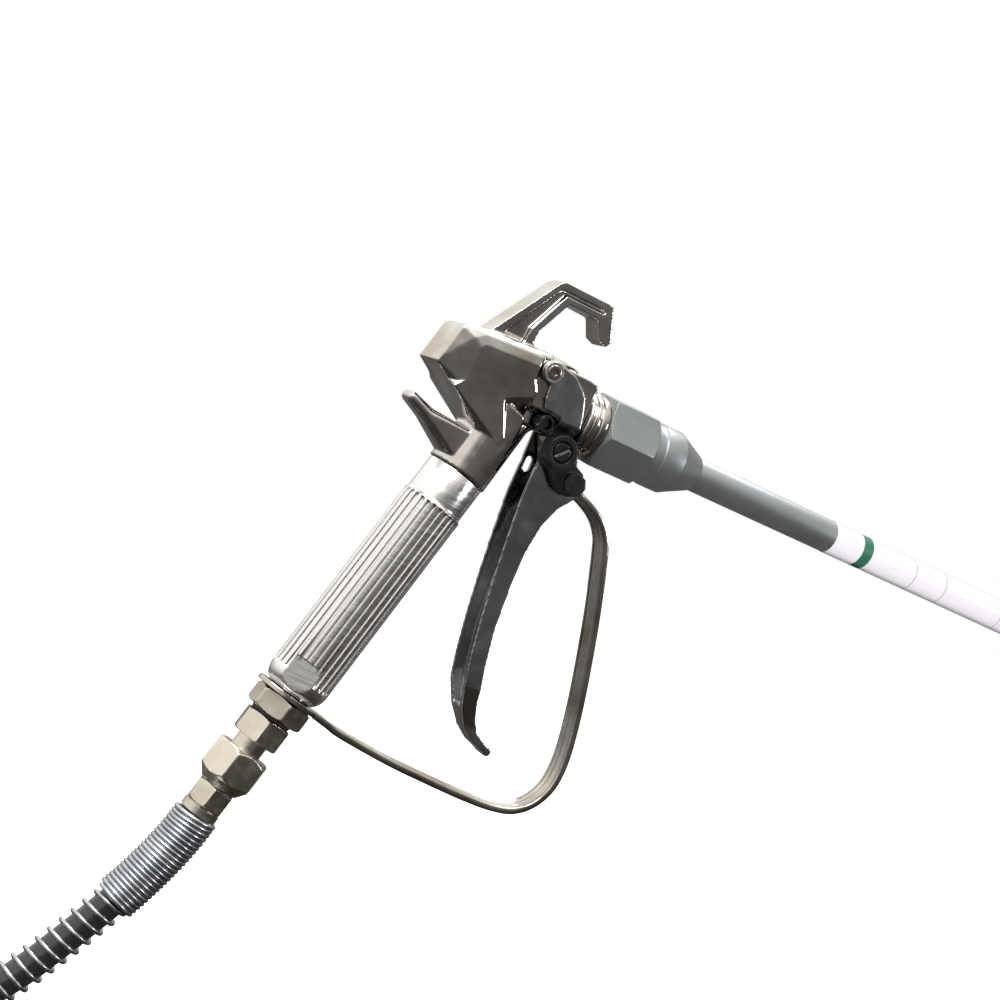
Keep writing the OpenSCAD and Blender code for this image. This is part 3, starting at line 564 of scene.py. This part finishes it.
EYE_AT = (32.5, -18.8)
eye_outline = [(0, -3.5), (3.3, -3.5), (3.6, -3.2), (3.6, 3.2), (3.3, 3.5), (0, 3.5)]
guard_eye = bar_across("guard_eye", EYE_AT, eye_outline)
guard_chrome = surface("chromed_strip", (0.50, 0.48, 0.45), 1.0, 0.1)
vary(guard_chrome, noise(guard_chrome, 160), "Roughness", 0.05, 0.16)
vary(guard_chrome, noise(guard_chrome, 38), "Base Color", (0.36, 0.31, 0.26), (0.68, 0.68, 0.66))
relief(guard_chrome, noise(guard_chrome, 55, 2), 1.0, 0.7)
for o in (guard, guard_ring, guard_eye):
    o.data.materials.append(guard_chrome)
    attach(o, "gun")
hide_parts("trigger_guard")

# ---- Trigger ----
# Stamped steel channel, smoky nickel plated: two flanges with ears at the top, a web along its front, a rolled tip
# and a slot in the far flange. It swings on two short screws in the head's cheeks, with a collar under each screw.
smoke = surface("smoked_nickel", (0.42, 0.42, 0.43), 1.0, 0.16)
vary(smoke, noise(smoke, 150), "Roughness", 0.1, 0.24)
vary(smoke, noise(smoke, 26), "Base Color", (0.34, 0.335, 0.34), (0.52, 0.52, 0.53))
relief(smoke, noise(smoke, 45, 2), 1.0, 0.8)
rounded_copy("trigger", "trigger_stamping", 0.0005, 2, "trigger", smoke)
PIVOT = (4.6, 12.6)


def both_sides(name, at, outline):
    """The same bar on the gun's right and on its left, its outline's heights counted out from the gun's middle."""
    return [bar_across(name + side, at, [(r, s * h) for r, h in outline]) for side, s in (("right", -1), ("left", 1))]


collar_outline = [(3.05, 13.4), (4.1, 13.4), (4.4, 13.6), (4.4, 14.6), (4.2, 14.8), (3.05, 14.8)]
screw_outline = [(0, 11.5), (2.98, 11.5), (2.98, 14.9), (2.7, 15.2), (1.5, 15.2), (1.4, 14.3), (0, 14.1)]
collars = both_sides("pivot_collar_", PIVOT, collar_outline)
screws = both_sides("pivot_screw_", PIVOT, screw_outline)
for o in collars:
    o.data.materials.append(bright)
    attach(o, "trigger")
    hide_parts("pivot_collars")
for o in screws:
    o.data.materials.append(chrome)
    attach(o, "gun")
    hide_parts("pivot_screws")

# ---- Trigger lock ----
# Moulded black lever on a stub shaft in the near flange, with a round knob, a slotted black screw in its well and a
# short boss at its nose. Turned down, its nose stands clear of the guard's lug and the trigger is free.
moulded = surface("moulded_black_nylon", (0.008, 0.008, 0.009), 0.0, 0.32, Specular_IOR_Level=0.3)
vary(moulded, noise(moulded, 330), "Roughness", 0.24, 0.42)
relief(moulded, noise(moulded, 800), 0.4, 0.08)
rounded_copy("lock_lever", "lock_moulding", 0.00035, 2, "lock", moulded)
oxide = surface("black_oxide", (0.09, 0.09, 0.092), 1.0, 0.24)
relief(oxide, noise(oxide, 600), 0.3, 0.08)
rounded_copy("lock_screw", "lock_screw_head", 0.0003, 1, "lock", oxide)

# ---- Needle, rollers and packing ----
# A ground steel needle with a hard ball closes the seat. A yoke, a cross pin and two black rollers let the trigger
# draw it back against its spring; a white packing seals it. The small pieces inside keep their CAD shapes.
ground = surface("ground_steel", (0.52, 0.52, 0.53), 1.0, 0.22)
vary(ground, noise(ground, 200, 4, (1, 12, 12)), "Roughness", 0.16, 0.32)
relief(ground, noise(ground, 300, 4, (1, 8, 8)), 0.25, 0.05)
ptfe = surface("white_plastic", (0.82, 0.82, 0.80), 0.0, 0.45)
relief(ptfe, noise(ptfe, 500), 0.3, 0.05)
for material, nodes in (
    (ground, ("needle", "needle_ball", "filter_mesh", "seat")),
    (oxide, ("needle_yoke", "pull_pin")),
    (zinc, ("needle_spring",)),
    (rubber, ("grip_seal", "tip_seal")),
    (chrome, ("guard_screw",)),
    (ptfe, ("packing", "seat_gasket", "filter_core")),
):
    for node in nodes:
        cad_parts[node].data.materials.clear()
        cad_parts[node].data.materials.append(material)
PULL_PIN = (11.6, -7.6)
roller_outline = [(2.42, 7.4), (3.3, 7.4), (3.6, 7.7), (3.6, 12.6), (3.3, 12.9), (2.42, 12.9)]
for o in both_sides("pull_roller_", PULL_PIN, roller_outline):
    o.data.materials.append(moulded)
    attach(o, "needle_group")
    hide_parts("pull_rollers")


# ---- Seat housing ----
# Turned brass, chromed: it screws into the head with the seat inside. Its ringed collar stops it, and the thread
# ahead of the collar takes the pole's nut.
def along_spray(x, y, z):
    """Turned about the spray axis: angle 0 is on the gun's left, a quarter turn on is up, heights run forward."""
    return place_on_spray(z, x, y)


housing_outline = [
    (4.6, 18.7), (8.9, 18.7), (8.9, 28.25), (13.2, 28.25), (13.8, 28.4), (14.2, 28.8), (14.3, 29.2), (14.3, 29.8),
    (14.0, 30.2), (13.4, 30.5), (13.2, 30.8), (13.2, 31.3), (13.5, 31.7), (14.1, 32.0), (14.3, 32.4), (14.3, 33.0),
    (14.1, 33.4), (13.5, 33.8), (13.2, 34.1), (13.2, 34.6), (13.5, 34.9), (13.9, 35.2), (14.0, 35.6), (14.0, 37.4),
    (13.8, 37.9), (13.2, 38.4), (11, 38.45), (11, 52), (10, 53), (4.4, 53), (4.4, 33.2), (4.6, 33.0),
]
housing = turned("seat_housing_turned", housing_outline, along_spray, None, 160, True)
housing.data.materials.append(chrome)
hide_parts("seat_housing")
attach(housing, "gun")

# ---- Pole ----
# Satin-anodised aluminium: a hexagon nut, a turned collar that tapers to the tube, and a threaded end piece. A printed
# film with a green band is wrapped round the tube.
satin = surface("satin_anodised_aluminium", (0.26, 0.275, 0.29), 0.86, 0.42)
vary(satin, noise(satin, 900, 5), "Roughness", 0.38, 0.46)
vary(satin, noise(satin, 40), "Base Color", (0.24, 0.255, 0.268), (0.28, 0.295, 0.31))
relief(satin, noise(satin, 1400, 4), 0.5, 0.05)
NUT_AF, NUT_X, NUT_L = 29.5, 38.6, 26.0
corner = NUT_AF / math.sqrt(3)
nut_rear = [(NUT_AF / 2 - 0.6 + (corner + 0.6 - NUT_AF / 2) * k / 8, NUT_X + 1.6 * k / 8) for k in range(9)]
nut_sides = [(corner + 0.05, NUT_X + z) for z in (6, 12, 18)]
nut_front = [
    (NUT_AF / 2 - 0.9 + (corner + 0.9 - NUT_AF / 2) * k / 10, NUT_X + NUT_L - 2.6 * k / 10) for k in range(10, -1, -1)
]
nut_bore = [(9.2, NUT_X + NUT_L), (9.2, 59.2), (11.1, 59.2)]
nut_outline = [(11.1, NUT_X)] + nut_rear + nut_sides + nut_front + nut_bore
pole_nut = turned("pole_nut_milled", nut_outline, along_spray, hexagon(NUT_AF, 7), 240, True)
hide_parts("pole_nut")
pole_collar_outline = [
    (7.6, 53.2), (10.6, 53.2), (10.6, 58), (9, 58), (9, 64.7), (13.0, 64.7), (13.4, 65.1), (13.4, 68.6), (13.6, 69.1),
    (14.0, 69.4), (14.1, 69.8), (14.1, 79.0), (14.0, 79.5), (13.7, 79.9), (8.4, 92.0), (8.0, 92.6), (7.6, 92.7),
]
pole_collar = turned("pole_collar_turned", pole_collar_outline, along_spray, None, 160, True)
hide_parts("pole_collar")
TUBE_R, TUBE_BORE_R = 7.5, 3
tube_outline = [(TUBE_BORE_R, 53.6), (7.3, 53.6), (TUBE_R, 53.9), (TUBE_R, 331), (7.2, 331.6), (TUBE_BORE_R, 331.6)]
tube = turned("pole_tube_drawn", tube_outline, along_spray, None, 128, True)
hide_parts("pole_tube")
END_AF, END_LOW, END_HIGH = 24, 312.6, 324.6
end_outline = [(7.6, 308.6), (8.6, 308.6), (11, 311.6), (11, 312.5)]
end_outline += hex_outline(END_AF, END_LOW, END_HIGH, 1.2)[1:-1] + [(11, 324.7), (11, 326)]
end_outline += [(10.9 if k % 2 else 10.3, 326.5 + 0.75 * k) for k in range(16)]
end_outline += [(10, 338.6), (TUBE_BORE_R, 338.6), (TUBE_BORE_R, 331.7), (7.6, 331.7)]


def end_across(a, h):
    """Radius of the end piece at an angle and a height: a hexagon between two heights, round elsewhere."""
    return np.where((h > END_LOW - 0.05) & (h < END_HIGH + 0.05), hexagon(END_AF)(a, h), 1e9)


end_piece = turned("pole_end_piece", end_outline, along_spray, end_across, 180, True)
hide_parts("pole_end")
for o in (pole_nut, pole_collar, tube, end_piece):
    o.data.materials.append(satin)
    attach(o, "gun")
LABEL_R, LABEL_FROM, LABEL_TO = 7.64, 173, 298
film = surface("printed_film", (0.5, 0.49, 0.53), 0.0, 0.4)
film_nodes, film_links = film.node_tree.nodes, film.node_tree.links
film_place, film_axes, along_label, print_tone = (
    film_nodes.new("ShaderNode" + kind) for kind in ("TexCoord", "SeparateXYZ", "MapRange", "ValToRGB")
)
film_links.new(film_place.outputs["Object"], film_axes.inputs[0])
film_links.new(film_axes.outputs["X"], along_label.inputs["Value"])
along_label.inputs["From Min"].default_value = (SPRAY_AT[0] + LABEL_FROM) / 1000
along_label.inputs["From Max"].default_value = (SPRAY_AT[0] + LABEL_TO) / 1000
film_links.new(along_label.outputs[0], print_tone.inputs[0])
white, green, grey = (0.54, 0.525, 0.57), (0.012, 0.10, 0.055), (0.24, 0.235, 0.26)
bands = [
    (0.0, white), (0.055, grey), (0.058, white), (0.130, green), (0.178, white), (0.400, grey), (0.403, white),
    (0.556, grey), (0.559, white), (0.672, grey), (0.675, white), (0.862, grey), (0.865, white), (0.965, green),
]
print_tone.color_ramp.interpolation = "CONSTANT"
fill_ramp(print_tone, bands)
# painted shade: the print's colour is darkened towards the tube's top and bottom, by height, where the tube's sides
# turn away
up_label, edge_shade_tone, print_times_edge_shade = (film_nodes.new("ShaderNode" + kind) for kind in ("MapRange", "ValToRGB", "Mix"))
film_links.new(film_axes.outputs["Z"], up_label.inputs["Value"])
up_label.inputs["From Min"].default_value = (SPRAY_AT[2] - LABEL_R) / 1000
up_label.inputs["From Max"].default_value = (SPRAY_AT[2] + LABEL_R) / 1000
film_links.new(up_label.outputs[0], edge_shade_tone.inputs[0])
# tones of the painted shade, from the tube's bottom to its top; the print's colour is multiplied by them
edge_shade_stops = [(0.05, 0.5), (0.12, 0.82), (0.3, 1.0), (0.95, 1.0), (0.985, 0.6)]
fill_ramp(edge_shade_tone, [(0.0, (0.25, 0.25, 0.26))] + [(place, (tone,) * 3) for place, tone in edge_shade_stops] + [(1.0, (0.3,) * 3)])
print_times_edge_shade.data_type, print_times_edge_shade.blend_type = "RGBA", "MULTIPLY"
print_times_edge_shade.inputs[0].default_value = 1.0
film_links.new(print_tone.outputs[0], print_times_edge_shade.inputs[6])
film_links.new(edge_shade_tone.outputs[0], print_times_edge_shade.inputs[7])
film_links.new(print_times_edge_shade.outputs[2], film_nodes["Principled BSDF"].inputs["Base Color"])
relief(film, noise(film, 400), 0.25, 0.05)
label_outline = [
    (7.52, LABEL_FROM), (7.62, 173.05), (LABEL_R, 173.4), (LABEL_R, 297.6), (7.62, 297.95), (7.52, LABEL_TO),
]
label = turned("pole_label_film", label_outline, along_spray, None, 128, True)
label.data.materials.append(film)
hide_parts("pole_label")
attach(label, "gun")

# ---- Tip, tip guard and its nut ----
# Moulded guard with two wings that keep fingers off the jet, a black moulded hexagon nut, and a reversible tip: a
# steel barrel with a black arrow-shaped lever that turns half round to blow a blockage out.
orange = surface("orange_nylon", (0.78, 0.30, 0.03), 0.0, 0.36)
vary(orange, noise(orange, 300), "Roughness", 0.3, 0.46)
relief(orange, noise(orange, 700), 0.3, 0.08)
rounded_copy("tip_guard", "tip_guard_moulding", 0.00045, 3, "gun", orange)
rounded_copy("tip_lever", "tip_lever_moulding", 0.00035, 3, "tip", moulded)
TIP_NUT_AF = 29
tip_nut_outline = [(11.1, 325.85)] + hex_outline(TIP_NUT_AF, 325.8, 344.6, 1.5)[1:-1]
tip_nut_outline += [(9.6, 344.6), (9.6, 338.7), (11.1, 338.7)]
tip_nut = turned("tip_guard_nut_moulded", tip_nut_outline, along_spray, hexagon(TIP_NUT_AF), 180, True)
tip_nut.data.materials.append(moulded)
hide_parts("tip_guard_nut")
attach(tip_nut, "gun")
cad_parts["spray_tip"].data.materials.clear()
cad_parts["spray_tip"].data.materials.append(ground)
